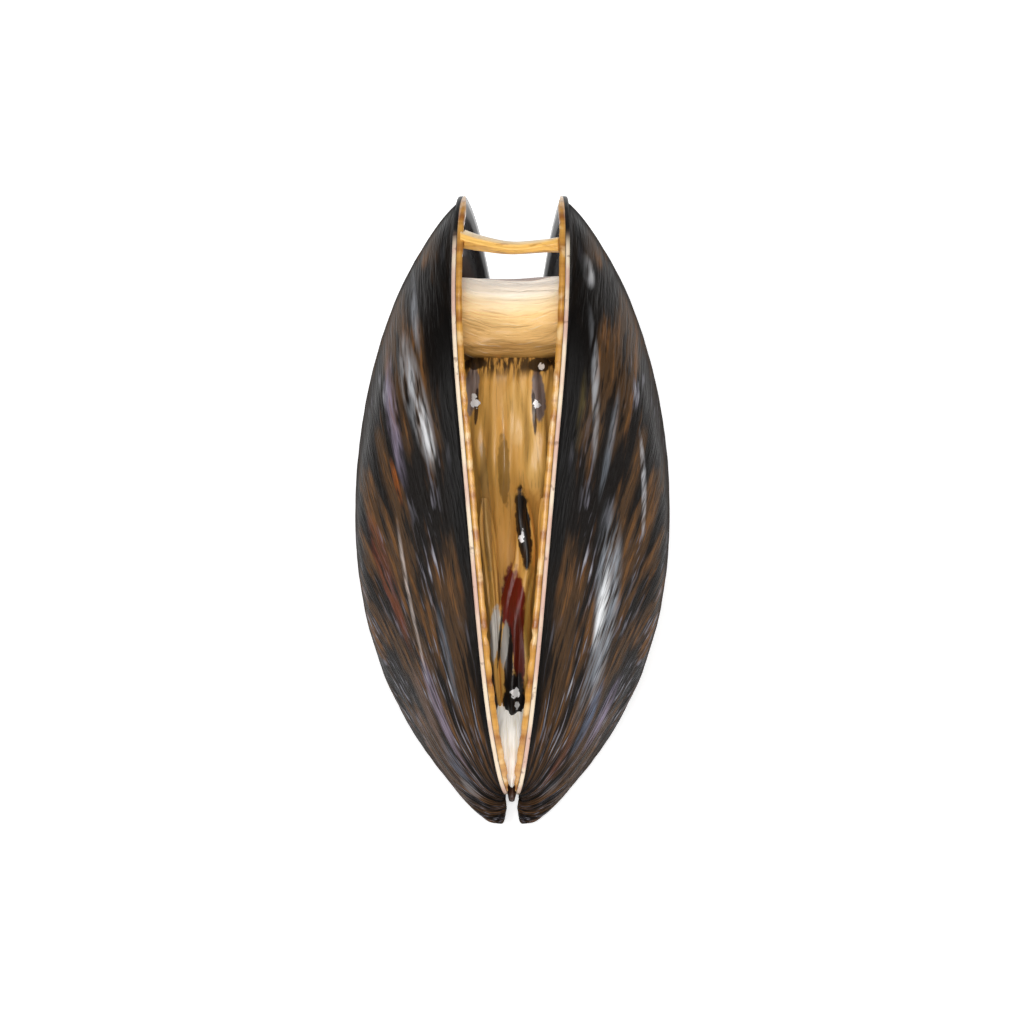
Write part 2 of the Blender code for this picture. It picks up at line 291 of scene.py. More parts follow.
@dataclass(frozen=True)
class ShellAxes:
    """Where the shell's own axes lie in the row."""

    length: float = 0.075
    hinge_start: float = 0.03
    hinge_pitch: float = math.radians(35.0)
    rest_pitch: float = math.radians(2.75)
    half_gape: float = math.radians(8.54)
    hinge_origin: tuple[float, float, float] = (0.0, -31.8267 * MM, 2.0530 * MM)

    def row_turn(self, pitch: float) -> Matrix:
        """Rotation into the row from a frame whose long axis stands at a pitch over the hinge line."""
        return Matrix.Rotation(pitch - self.rest_pitch, 3, "X")

    def place(self, along: float, ventral: float, across: float = 0.0) -> Vector:
        """Row position of a point in the shell's own axes.

        Args:
            along: Share of the length from the beak.
            ventral: Share of the length towards the ventral side.
            across: Millimetres towards the right valve.

        Returns:
            The position in metres.
        """
        local = Vector((across * MM, (along - self.hinge_start) * self.length, ventral * self.length))
        return self.row_turn(self.hinge_pitch) @ local + Vector(self.hinge_origin)

    @property
    def along(self) -> Vector:
        """Direction from beak to posterior end."""
        return (self.place(1.0, 0.0) - self.place(0.0, 0.0)).normalized()

    @property
    def ventral(self) -> Vector:
        """Direction towards the ventral side."""
        return (self.place(0.0, 1.0) - self.place(0.0, 0.0)).normalized()

    def opened(self) -> Matrix:
        """Turns the closed right valve, in hinge axes, out by half the gape and into the row."""
        turn = self.row_turn(0.0) @ Matrix.Rotation(self.half_gape, 3, "Y")
        return Matrix.Translation(Vector(self.hinge_origin)) @ turn.to_4x4()

    def measures(self, board: Board) -> tuple[Signal, Signal, Signal]:
        """Measures of a point in the shell's own axes, for a material.

        Args:
            board: The material.

        Returns:
            Along and ventral shares of the length, and millimetres across.
        """
        point = board.point()
        start = self.place(0.0, 0.0)
        return (board.reach(point, self.along, start, self.length),
                board.reach(point, self.ventral, start, self.length),
                board.reach(point, Vector((1.0, 0.0, 0.0)), start, MM))


AXES = ShellAxes()


@dataclass(frozen=True)
class Growth:
    """Growth law of a valve: its margin, and where younger stages of that margin lay."""

    full_turn: float = math.radians(75.15)
    turn_power: float = 0.8365
    turn_bend: float = 0.4292
    beak_out: float = 0.0120
    beak_back: float = 0.0407
    beak_down: float = 0.0062
    lip: float = 0.75 * MM
    lip_ridge: float = 0.6 * MM
    lip_taper: float = 0.06
    fineness: int = 2000
    tangent_steps: int = 6
    margin: tuple[tuple[float, float], ...] = (
        (0.120, -0.064), (0.075, -0.040), (0.046, -0.012), (0.055, 0.032), (0.095, 0.078), (0.180, 0.125),
        (0.300, 0.146), (0.450, 0.149), (0.600, 0.150), (0.720, 0.150), (0.820, 0.125), (0.910, 0.068),
        (0.975, 0.005), (1.000, -0.060), (0.985, -0.130), (0.940, -0.205), (0.880, -0.262), (0.795, -0.312),
        (0.705, -0.346), (0.615, -0.363), (0.540, -0.349), (0.480, -0.314), (0.420, -0.273))

    def margin_points(self, arc: tuple[float, float], steps: int, inset: float) -> list[Vector]:
        """Part of the margin in hinge axes.

        Args:
            arc: Shares of the margin's length where the part starts and ends.
            steps: Number of steps along it.
            inset: How far the points are moved in from the edge.

        Returns:
            Points along the hinge and away from it, in metres.
        """
        whole = smooth_through([Vector(point) for point in self.margin], self.fineness)
        turn = Matrix.Rotation(AXES.hinge_pitch, 2)
        points = []
        for step in range(steps + 1):
            share = arc[0] + (arc[1] - arc[0]) * step / steps
            index = round(share * self.fineness)
            before = whole[max(index - self.tangent_steps, 0)]
            tangent = (whole[min(index + self.tangent_steps, self.fineness)] - before).normalized()
            depth = inset * min(1.0, share / self.lip_taper, (1.0 - share) / self.lip_taper)
            edge = whole[index] * AXES.length - Vector((-tangent.y, tangent.x)) * depth
            points.append(turn @ (edge - Vector((AXES.hinge_start * AXES.length, 0.0))))
        return points

    def grown(self, point: Vector, stage: float) -> Vector:
        """Where a margin point lay at an earlier stage.

        Args:
            point: The point, along the hinge and away from it.
            stage: Stage of growth, with one for today's.

        Returns:
            Its place on the closed right valve, in hinge axes.
        """
        young = 1.0 - stage
        turn = self.full_turn * young ** self.turn_power * (1.0 + self.turn_bend * young ** 2)
        curl = AXES.length * young ** 2
        return Vector((self.lip + stage * point.y * math.sin(turn) + self.beak_out * curl,
                       stage * point.x - self.beak_back * curl,
                       stage * point.y * math.cos(turn) - self.beak_down * curl))


def between(p0: Point, p1: Point, p2: Point, p3: Point, t: float) -> Point:
    """Point on the smooth curve from p1 to p2 that also heeds their neighbours."""
    return 0.5 * (2 * p1 + (p2 - p0) * t + (2 * p0 - 5 * p1 + 4 * p2 - p3) * t ** 2
                  + (3 * p1 - p0 - 3 * p2 + p3) * t ** 3)


def smooth_through(points: Sequence[Vector], count: int) -> list[Vector]:
    """Evenly spaced points on a smooth curve.

    Args:
        points: Points that the curve passes through.
        count: Number of steps along the curve.

    Returns:
        One more point than steps.
    """
    knots = [2 * points[0] - points[1], *points, 2 * points[-1] - points[-2]]
    samples = max(24, 3 * count // len(points))
    fine = []
    for window in zip(knots, knots[1:], knots[2:], knots[3:]):
        fine.extend(between(*window, step / samples) for step in range(samples))
    fine.append(points[-1].copy())
    reached = [0.0]
    for a, b in zip(fine, fine[1:]):
        reached.append(reached[-1] + (b - a).length)
    even, index = [], 0
    for step in range(count + 1):
        goal = reached[-1] * step / count
        while index < len(reached) - 2 and reached[index + 1] < goal:
            index += 1
        share = (goal - reached[index]) / max(reached[index + 1] - reached[index], 1e-12)
        even.append(fine[index].lerp(fine[index + 1], share))
    return even


def growth_layers(bm: bmesh.types.BMesh) -> list:
    """The mesh's layers with each vertex's stage of growth and share of the way round."""
    return [bm.verts.layers.float[name] for name in ("stage", "around")]


def next_ring(bm: bmesh.types.BMesh, ring: list, closed: bool) -> list:
    """Extrudes a chain or loop of edges.

    Args:
        bm: The mesh.
        ring: Its last row of vertices, in order.
        closed: Whether the row's ends are joined.

    Returns:
        The new row, in the same order.
    """
    pairs = zip(ring, ring[1:] + ring[:1]) if closed else zip(ring, ring[1:])
    edges = [bm.edges.get(pair) for pair in pairs]
    made = bmesh.ops.extrude_edge_only(bm, edges=edges)["geom"]
    fresh = {item for item in made if isinstance(item, bmesh.types.BMVert)}
    above = [[edge.other_vert(old) for edge in old.link_edges] for old in ring]
    return [next(vert for vert in verts if vert in fresh) for verts in above]


def shifted_by(bm: bmesh.types.BMesh, push: Callable[[bmesh.types.BMVert], float]) -> None:
    """Moves every vertex along its normal.

    Args:
        bm: The mesh.
        push: Metres to move a vertex by.
    """
    bm.normal_update()
    moves = [(vert, vert.normal * push(vert)) for vert in bm.verts]
    for vert, move in moves:
        vert.co += move


def flipped(bm: bmesh.types.BMesh) -> bmesh.types.BMesh:
    """Mirrors a right-hand mesh.

    Args:
        bm: The mesh, which stays as it is.

    Returns:
        A copy on the left of the midline.
    """
    other = bm.copy()
    bmesh.ops.scale(other, vec=(-1.0, 1.0, 1.0), verts=other.verts)
    bmesh.ops.reverse_faces(other, faces=other.faces)
    return other


def added(name: str, data: bpy.types.ID) -> bpy.types.Object:
    """Links a new object into the scene.

    Args:
        name: Its name.
        data: Its mesh, light or camera.

    Returns:
        The object.
    """
    made = bpy.data.objects.new(name, data)
    bpy.context.scene.collection.objects.link(made)
    return made


def circle(sides: int) -> list[tuple[float, float]]:
    """Sine and cosine of evenly spaced angles."""
    angles = [2 * math.pi * side / sides for side in range(sides)]
    return [(math.sin(angle), math.cos(angle)) for angle in angles]


def make_piece(name: str, bm: bmesh.types.BMesh, slot: str, nodes: Iterable[str],
               materials: Sequence[bpy.types.Material]) -> bpy.types.Object:
    """Puts a finished mesh into the scene and ties it to the frame.

    Args:
        name: The piece's name.
        bm: Its mesh, in the row's place; it is freed.
        slot: Material slot of the record; not used.
        nodes: Solids that it stands for.
        materials: Its materials, in slot order.

    Returns:
        The new object.
    """
    mesh = bpy.data.meshes.new(name)
    bm.to_mesh(mesh)
    bm.free()
    for material in materials:
        mesh.materials.append(material)
    mesh.shade_smooth()
    piece = added(name, mesh)
    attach(piece, ROOT)
    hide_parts(*nodes)
    log.info("%s: %d faces", name, len(mesh.polygons))
    return piece


def make_pair(kind: str, right: bmesh.types.BMesh, slot: str,
              materials: Sequence[Sequence[bpy.types.Material]]) -> list[bpy.types.Object]:
    """Puts a right-hand mesh and its mirror image into the scene.

    Args:
        kind: What the solids are, without their side.
        right: The right-hand mesh; it is freed.
        slot: Material slot of the record; not used, only passed on.
        materials: Materials of the left and of the right piece.

    Returns:
        The left and the right piece.
    """
    halves = zip(("left", "right"), (flipped(right), right), materials)
    return [make_piece(f"{kind}_{side}", bm, slot, (f"{side}_{kind}",), dress) for side, bm, dress in halves]


def loft(rings: Sequence[Sequence[Vector]]) -> bmesh.types.BMesh:
    """Closed body through rows of points.

    Args:
        rings: Loops of points, all of one count.

    Returns:
        The mesh.
    """
    bm = bmesh.new()
    ring = bmesh.ops.create_circle(bm, segments=len(rings[0]), radius=1.0, cap_ends=False)["verts"]
    for index, points in enumerate(rings):
        if index:
            ring = next_ring(bm, ring, True)
        for vert, point in zip(ring, points):
            vert.co = point
    bmesh.ops.holes_fill(bm, edges=bm.edges)
    bmesh.ops.recalc_face_normals(bm, faces=bm.faces)
    return bm


def swept(stations: Sequence[tuple[float, ...]], count: int) -> list[tuple[float, ...]]:
    """Fine stations between coarse ones, on a smooth curve through each of their numbers.

    Args:
        stations: Coarse stations, each a tuple of numbers.
        count: Number of steps.

    Returns:
        One more station than steps.
    """
    padded = [stations[0], *stations, stations[-1]]
    spans = len(stations) - 1
    fine = []
    for step in range(count + 1):
        place = min(step / count * spans, spans - 1e-9)
        index, t = int(place), place - int(place)
        fine.append(tuple(between(*numbers, t) for numbers in zip(*padded[index:index + 4])))
    return fine


@dataclass(frozen=True)
class Patch:
    """A slanted oval of colour, placed by two measures of a surface."""

    first: float
    second: float
    half_first: float
    half_second: float
    slope: float
    code: str
    strength: float

    def oval(self, first: Signal, second: Signal) -> Signal:
        """Squared distance from the middle, where one is the oval's edge.

        Args:
            first: The measure that the oval's slope is taken along.
            second: The other measure.

        Returns:
            The squared distance.
        """
        offset = first - self.first
        reach = offset * (1.0 / self.half_first)
        side = (second - self.second - offset * self.slope) * (1.0 / self.half_second)
        return reach * reach + side * side

    def streak(self, around: Signal, stage: Signal, strands: Signal) -> Layer:
        """The layer of a soft streak along the growth lines, broken up by fine strands; a pale one is a
        painted highlight.
        """
        return self.oval(around, stage).rise(1.0, 0.0) * strands * self.strength, self.code

    def blot(self, along: Signal, across: Signal, ragged: Signal) -> Layer:
        """The layer of a blot on the meat, its edge frayed by noise around zero."""
        return (self.oval(along, across) + ragged).rise(1.25, 0.75) * self.strength, self.code


@dataclass(frozen=True)
class ShellSkin:
    """Glossy dark outer layer of a valve, streaked along its growth lines, with painted highlights among the
    streaks and painted shade on its flanks.
    """

    name: str
    streaks_and_highlights: tuple[Patch, ...]
    dark: str = "100b08"
    brown: str = "48331f"
    warm: str = "704b28"
    painted_flank_shade: str = "2b1d13"
    mist: str = "74717a"
    painted_highlight_hairs: str = "b9b8bd"
    rim_band: str = "0a0807"

    def material(self) -> bpy.types.Material:
        """Builds the material.

        Returns:
            The finished material.
        """
        board = Board(self.name)
        around, stage = board.growth()
        along, _, _ = AXES.measures(board)
        wander = board.grain(around * 7.0, stage * 7.0, 0.0, detail=3.0) - 0.5
        drift = stage + wander * 0.035 + around * 0.10
        broad = board.grain(around * 7.0, drift * 16.0, 3.0)
        strokes = board.grain(around * 13.0, drift * 52.0, 1.0, detail=3.0, rough=0.6)
        dabs = board.grain(around * 24.0, drift * 84.0, 6.0)
        fine = board.grain(around * 30.0, drift * 190.0, 2.0, detail=3.0, rough=0.6)
        misty = board.grain(around * 8.0, stage * 9.0, 8.0) + along.rise(0.50, 0.15) * 0.09
        strands = strokes.rise(0.40, 0.58) * 0.6 + dabs.rise(0.40, 0.60) * 0.5
        facing = board.facing()
        # Painted shade: walls that turn away from the gape, towards the flanks, are darkened; the same mask
        # also roughens them.
        painted_flank_shade = facing.band(-0.50, 0.24, 0.16)
        colour = board.layered(
            self.dark,
            (broad.rise(0.42, 0.56), self.brown),
            (strokes.rise(0.53, 0.64) * broad.rise(0.38, 0.54) * 0.85, self.warm),
            (strokes.rise(0.47, 0.38) * 0.9, self.dark),
            (dabs.rise(0.54, 0.66) * misty.rise(0.49, 0.61) * 0.8, self.mist),
            # Painted highlight: fine white glints along the growth lines.
            (dabs.rise(0.64, 0.74) * misty.rise(0.52, 0.66) * 0.7, self.painted_highlight_hairs),
            # Streaks of the shell's own colour, and painted highlights.
            *(patch.streak(around, stage, strands) for patch in self.streaks_and_highlights),
            (fine.rise(0.46, 0.34) * 0.6, self.dark),
            # Painted shade on the flanks, then a darker painted outline where the wall turns side-on to the
            # gape.
            (painted_flank_shade * (0.75 - dabs.rise(0.58, 0.70) * 0.25), self.painted_flank_shade),
            (facing.band(-0.30, 0.10, 0.10) * 0.9, self.dark),
            # Dark band beside the rim: the dark outer layer there, deepened as painted shade beside the
            # raised lip.
            (stage.rise(0.955, 0.985) * 0.92, self.rim_band))
        rough = fine * 0.2 + strokes * 0.3 + painted_flank_shade * 0.5 + 0.12
        return board.finish({"Specular IOR Level": 0.11}, Base_Color=colour, Roughness=rough,
                            Normal=board.bump(strokes * 0.5 + fine * 0.5, 0.0003))


@dataclass(frozen=True)
class Nacre:
    """Pale inner layer of a valve."""

    light: str = "a5a2a9"
    lilac: str = "6d6a76"
    deep: str = "2c2a33"
    brown: str = "3b2210"
    outline: str = "141113"

    def material(self) -> bpy.types.Material:
        """Builds the material.

        Returns:
            The finished material.
        """
        board = Board("nacre")
        around, stage = board.growth()
        along, _, _ = AXES.measures(board)
        grain = board.grain(around * 9.0, stage * 40.0, 0.0, detail=4.0)
        stain_and_shade = board.noise(board.point(), 420.0, 3.0) - 0.5
        colour = board.layered(
            self.lilac,
            (grain.rise(0.35, 0.65), self.light),
            (stage.band(0.90, 0.97, 0.02) * 0.4, self.deep),
            # Dark brown band under the siphon bridge: a stain, deepened as painted shade.
            ((along + stain_and_shade * 0.03).band(*STAIN_AND_SHADE_BAND), self.brown),
            (stage.rise(0.965, 0.980), self.outline))
        return board.finish({"Coat Weight": 0.4, "Coat Roughness": 0.08}, Base_Color=colour,
                            Roughness=grain * 0.2 + 0.2, Normal=board.bump(grain, 0.0001))


@dataclass(frozen=True)
class Lip:
    """Cream edge of a valve."""

    cream: str = "f0dcc0"
    pink: str = "d9b3a0"
    brown: str = "7d5236"
    black: str = "0d0a09"

    def material(self) -> bpy.types.Material:
        """Builds the material.

        Returns:
            The finished material.
        """
        board = Board("lip")
        point = board.point()
        grain = board.noise(point, 900.0, 3.0)
        patches = board.noise(point, 160.0, 3.0)
        around, _ = board.growth()
        colour = board.layered(
            self.cream,
            (patches.rise(0.42, 0.62), self.pink),
            (grain.rise(0.60, 0.72) * 0.6, self.brown),
            (around.rise(0.535, 0.560) + around.rise(0.065, 0.045), self.black))
        return board.finish({"Specular IOR Level": 0.4}, Base_Color=colour, Roughness=grain * 0.2 + 0.35,
                            Normal=board.bump(grain, 0.00008))


@dataclass(frozen=True)
class MantleSkin:
    """Wet mantle: a golden edge, and a mauve-grey wall below it."""

    gold: str = "d99f45"
    amber: str = "9c5c1c"
    cream: str = "efce98"
    wall: str = "8f7f78"
    deep: str = "4a3a30"
    stain_and_shade: str = "3a1f0c"

    def material(self) -> bpy.types.Material:
        """Builds the material.

        Returns:
            The finished material.
        """
        board = Board("mantle")
        around, stage = board.growth()
        along, _, _ = AXES.measures(board)
        point = board.point()
        folds = board.grain(around * 60.0, stage * 30.0, 0.0, detail=4.0)
        spots = board.noise(point, 420.0, 3.0)
        edge = board.layered(self.gold, (folds.rise(0.40, 0.66), self.amber),
                             (spots.rise(0.54, 0.70) * 0.7, self.cream))
        wall = board.layered(self.deep, (spots.rise(0.40, 0.62), self.wall))
        colour = board.mix((stage + along.rise(0.84, 0.92) * 0.06).rise(0.955, 0.90), edge, wall)
        ragged = (spots - 0.5) * 0.03
        # Dark brown band under the siphon bridge: a stain, deepened as painted shade.
        patch = (along + ragged).band(*STAIN_AND_SHADE_BAND) * stage.rise(0.975, 0.955)
        colour = board.layered(colour, (patch * 0.95, self.stain_and_shade))
        height = folds * 0.6 + spots * 0.4
        return board.finish({"Coat Weight": 0.5, "Coat Roughness": 0.08}, Base_Color=colour,
                            Roughness=spots * 0.2 + 0.28, Normal=board.bump(height, 0.00025))


@dataclass(frozen=True)
class MuscleFlesh:
    """Large muscle in fine fibres: cream at its posterior edge, tan and darker towards the beaks, this
    change painted as light and shade, with a painted shadow at its lower edge and a painted sheen.
    """

    # Painted glow: the flesh gives off light of its own colour to brighten its shaded parts.
    painted_fill_glow: float = 0.20
    membrane: str = "7d5548"
    line: str = "7d5620"
    sheen: str = "fbeed4"
    side: str = "8a5f28"
    start: float = 0.728
    span: float = 0.135
    sag: float = 0.00045
    # Colours across the muscle from its lower edge to its posterior edge: painted shadow at the bottom, then
    # shaded tan rising to a painted lit cream.
    stops: tuple[tuple[float, str], ...] = (
        (0.00, "3a2410"), (0.06, "b08444"), (0.20, "e0b06a"), (0.38, "f0c27a"), (0.54, "ffd690"),
        (0.70, "ffe8bc"), (0.80, "fff6e2"), (1.00, "fffaf2"))

    def material(self) -> bpy.types.Material:
        """Builds the material.

        Returns:
            The finished material.
        """
        board = Board("muscle")
        along, ventral, across = AXES.measures(board)
        level = (along - self.start - across * across * self.sag) * (1.0 / self.span)
        wander = board.grain(across * 0.25, level * 3.0, 0.0) - 0.5
        rows = level * 34.0 + wander * 4.0
        fibres = board.grain(across * 0.22, rows, ventral * 20.0, detail=4.0, rough=0.6)
        colour = board.layered(
            # Painted light and shade across the muscle's rounded surface.
            board.ramp(level + wander * 0.08, self.stops),
            (fibres.rise(0.50, 0.34) * level.rise(0.9, 0.35) * 0.4, self.line),
            # Painted sheen on the fibres.
            (fibres.rise(0.58, 0.72) * 0.5, self.sheen),
            (abs(across).rise(4.8, 6.4) * 0.4, self.side),
            (level.rise(0.955, 0.975) * ventral.band(-0.072, -0.050, 0.004) * 0.85, self.membrane))
        constants = {"Coat Weight": 0.2, "Coat Roughness": 0.15, "Emission Strength": self.painted_fill_glow}
        return board.finish(constants, Base_Color=colour, Emission_Color=colour,
                            Roughness=fibres * 0.25 + 0.35, Normal=board.bump(fibres, 0.0003))


MEAT_BLOTS = (
    Patch(0.650, 0.8, 0.050, 1.9, 0.0, "dcae62", 0.75),
    Patch(0.574, 2.6, 0.060, 1.0, -6.0, "e3b566", 0.85),
    Patch(0.560, -0.9, 0.055, 0.7, -2.0, "80602a", 0.75),
    Patch(0.500, -3.0, 0.110, 0.5, -5.0, "8d7650", 0.5),
    Patch(0.686, -4.8, 0.040, 0.9, 5.0, "857874", 0.95),
    Patch(0.678, 3.2, 0.042, 0.8, -5.0, "766a68", 0.95),
    Patch(0.660, -4.2, 0.030, 0.25, 4.0, "2a1c14", 0.9),
    Patch(0.650, 2.7, 0.034, 0.25, -4.0, "2a1c14", 0.9),
    # Painted shadow at the corners where the meat runs under the muscle.
    Patch(0.729, -4.4, 0.010, 1.3, 0.0, "120b08", 0.95),
    Patch(0.727, 3.3, 0.012, 1.3, 0.0, "120b08", 0.95),
    Patch(0.468, 1.45, 0.066, 0.85, -8.0, "120e0d", 1.0),
    Patch(0.345, 0.25, 0.060, 1.50, -4.0, "6a1b0c", 1.0),
    Patch(0.275, 0.9, 0.065, 0.70, -3.0, "571809", 1.0),
    Patch(0.330, 2.2, 0.075, 0.6, 4.0, "b08a42", 0.95),
    Patch(0.250, -0.3, 0.060, 0.5, 2.0, "1c1512", 1.0),
    Patch(0.195, 0.3, 0.046, 1.35, 3.0, "14100f", 1.0),
    Patch(0.300, -2.0, 0.045, 0.65, 6.0, "cfccc4", 0.95),
    Patch(0.284, -0.75, 0.036, 0.45, 6.0, "a5a29b", 0.95),
    Patch(0.292, -1.35, 0.045, 0.16, 6.0, "1a1412", 0.95),
)

# Painted highlights: small white wet glints on the meat.
PAINTED_WET_GLINTS = (
    Patch(0.665, -4.3, 0.0065, 0.50, 0.0, "ffffff", 1.0),
    Patch(0.676, -4.5, 0.0060, 0.28, 0.0, "f4f2ee", 0.9),
    Patch(0.664, 3.0, 0.0060, 0.45, 0.0, "ffffff", 1.0),
    Patch(0.724, 3.5, 0.0050, 0.35, 0.0, "f4f2ee", 0.9),
    Patch(0.450, 1.20, 0.0055, 0.38, 0.0, "ffffff", 1.0),
    Patch(0.458, 1.35, 0.0080, 0.14, 0.0, "dcdcdc", 0.9),
    Patch(0.206, 0.45, 0.0085, 0.50, 0.0, "ffffff", 1.0),
    Patch(0.186, 0.65, 0.0060, 0.25, 0.0, "e8e8e8", 0.9),
)


@dataclass(frozen=True)
class MeatFlesh:
    """Golden meat with soft stripes and dark folds, a painted shadow where it runs under the muscle, and
    painted wet glints.
    """

    name: str
    stripe_scale: float = 0.9
    gold: str = "d4a050"
    pale: str = "e6b360"
    tan: str = "a27430"
    cream: str = "ebc98a"
    shade: str = "4f3212"
    # Colour of the painted shadow where the meat runs under the muscle.
    root: str = "1f120a"
    # Painted glow: the flesh gives off light of its own colour to brighten its shaded parts.
    painted_fill_glow: float = 0.10
    coat: float = 0.25

    def material(self) -> bpy.types.Material:
        """Builds the material.

        Returns:
            The finished material.
        """
        board = Board(self.name)
        along, ventral, across = AXES.measures(board)
        wander = board.grain(across * 0.3, along * 9.0, 0.0) - 0.5
        sideways = across * self.stripe_scale + wander * 1.2
        stripes = board.grain(sideways, along * 6.0, ventral * 8.0, detail=4.0, rough=0.6)
        fine = board.grain(across * 2.6 + wander, along * 16.0, ventral * 30.0, detail=3.0)
        ragged = (board.grain(across * 1.2, along * 60.0, 5.0, detail=3.0) - 0.5) * 1.5
        torn = (board.grain(across * 2.6, along * 190.0, 7.0) - 0.5) * 4.5
        colour = board.layered(
            self.gold,
            (stripes.rise(0.46, 0.68) * 0.5, self.pale),
            (stripes.rise(0.48, 0.30) * 0.35, self.tan),
            (fine.rise(0.56, 0.74) * 0.12, self.cream),
            *(patch.blot(along, across, ragged) for patch in MEAT_BLOTS),
            (fine.rise(0.46, 0.30) * 0.3, self.shade),
            # Painted shadow where the meat runs under the muscle.
            (along.rise(0.696, 0.724) * fine.rise(0.64, 0.42) * 0.95, self.root),
            *(patch.blot(along, across, torn) for patch in PAINTED_WET_GLINTS))
        constants = {"Coat Weight": self.coat, "Coat Roughness": 0.2, "Emission Strength": self.painted_fill_glow}
        return board.finish(constants, Base_Color=colour, Emission_Color=colour, Roughness=fine * 0.2 + 0.35,
                            Normal=board.bump(stripes * 0.6 + fine * 0.4, 0.0002))


@dataclass(frozen=True)
class BridgeFlesh:
    """Orange siphon bridge, paler along its upper edge."""

    orange: str = "ffc868"
    pale: str = "ffecc8"
    amber: str = "b8741c"

    def material(self) -> bpy.types.Material:
        """Builds the material.

        Returns:
            The finished material.
        """
        board = Board("siphon_bridge")
        along, ventral, across = AXES.measures(board)
        fibres = board.grain(across * 0.5, along * 160.0, ventral * 90.0, detail=3.0)
        upper = (along - across * across * 0.0004 + across * 0.0006).rise(0.914, 0.921)
        colour = board.layered(self.orange, (fibres.rise(0.50, 0.72) * 0.7, self.amber),
                               (upper * 0.8, self.pale))
        return board.finish({"Coat Weight": 0.3, "Coat Roughness": 0.15}, Base_Color=colour,
                            Roughness=fibres * 0.2 + 0.3, Normal=board.bump(fibres, 0.0002))


@dataclass(frozen=True)
class PlainFlesh:
    """Evenly coloured tissue with fibres along the shell."""

    name: str
    light: str
    dark: str
    coat: float
    # Painted glow: the flesh gives off light of its own colour to brighten its shaded parts.
    painted_fill_glow: float = 0.0

    def material(self) -> bpy.types.Material:
        """Builds the material.

        Returns:
            The finished material.
        """
        board = Board(self.name)
        along, ventral, across = AXES.measures(board)
        fibres = board.grain(across * 2.2, along * 16.0, ventral * 30.0, detail=4.0)
        colour = board.layered(self.dark, (fibres.rise(0.36, 0.62), self.light))
        constants = {"Coat Weight": self.coat, "Coat Roughness": 0.1, "Emission Strength": self.painted_fill_glow}
        return board.finish(constants, Base_Color=colour, Emission_Color=colour,
                            Roughness=fibres * 0.25 + 0.28, Normal=board.bump(fibres, 0.0003))


# Left valve: brown, orange, lilac and blue-grey streaks of the shell's own colour, and white and pale grey
# ones that are painted highlights.
LEFT_STREAKS_AND_HIGHLIGHTS = (
    Patch(0.440, 0.925, 0.085, 0.026, -0.30, "aeb0b4", 0.85),
    Patch(0.405, 0.940, 0.040, 0.012, -0.30, "e6e6e8", 0.9),
    Patch(0.450, 0.865, 0.080, 0.022, 0.0, "8a7f92", 0.75),
    Patch(0.520, 0.935, 0.060, 0.010, -0.20, "8d8f94", 0.7),
    Patch(0.400, 0.840, 0.030, 0.010, 0.0, "a85c20", 0.85),
    Patch(0.360, 0.700, 0.090, 0.045, 0.15, "6e3520", 0.8),
    Patch(0.300, 0.765, 0.085, 0.014, 0.60, "c9b9b0", 0.85),
    Patch(0.215, 0.870, 0.060, 0.030, 0.20, "5a6470", 0.8),
    Patch(0.190, 0.715, 0.080, 0.050, 0.20, "8a8095", 0.9),
    Patch(0.150, 0.600, 0.050, 0.060, 0.20, "6f7280", 0.8),
    Patch(0.230, 0.620, 0.070, 0.050, 0.20, "6d5a52", 0.8),
    Patch(0.118, 0.520, 0.030, 0.080, 0.0, "8c8a8c", 0.8),
    Patch(0.560, 0.860, 0.060, 0.030, 0.0, "4c3628", 0.8),
)

# Right valve: brown, olive, lilac and blue-grey streaks of the shell's own colour, and white and pale grey
# ones that are painted highlights.
RIGHT_STREAKS_AND_HIGHLIGHTS = (
    Patch(0.535, 0.975, 0.020, 0.014, 0.0, "e4e4e6", 0.9),
    Patch(0.440, 0.950, 0.070, 0.012, 0.35, "a2a4a8", 0.75),
    Patch(0.410, 0.900, 0.060, 0.012, 0.0, "7a8088", 0.65),
    Patch(0.408, 0.970, 0.040, 0.010, 0.0, "6e6038", 0.7),
    Patch(0.428, 0.780, 0.035, 0.020, 1.5, "c8c8cc", 0.8),
    Patch(0.290, 0.775, 0.090, 0.085, 0.9, "9aa0a8", 0.95),
    Patch(0.285, 0.800, 0.045, 0.035, 0.5, "f2f3f4", 1.0),
    Patch(0.225, 0.760, 0.060, 0.040, 0.4, "6b7078", 0.8),
    Patch(0.205, 0.640, 0.060, 0.045, 0.3, "60708a", 0.9),
    Patch(0.250, 0.535, 0.070, 0.055, 0.1, "8f849c", 0.9),
    Patch(0.135, 0.700, 0.045, 0.050, 0.3, "6a3a2a", 0.7),
    Patch(0.115, 0.540, 0.030, 0.060, 0.0, "77777c", 0.6),
)


def stages_to(youngest: float, rows: int, power: float) -> tuple[float, ...]:
    """Growth stages from the margin to the youngest, closer together near the margin."""
    return tuple(1.0 - (1.0 - youngest) * (row / rows) ** power for row in range(rows + 1))


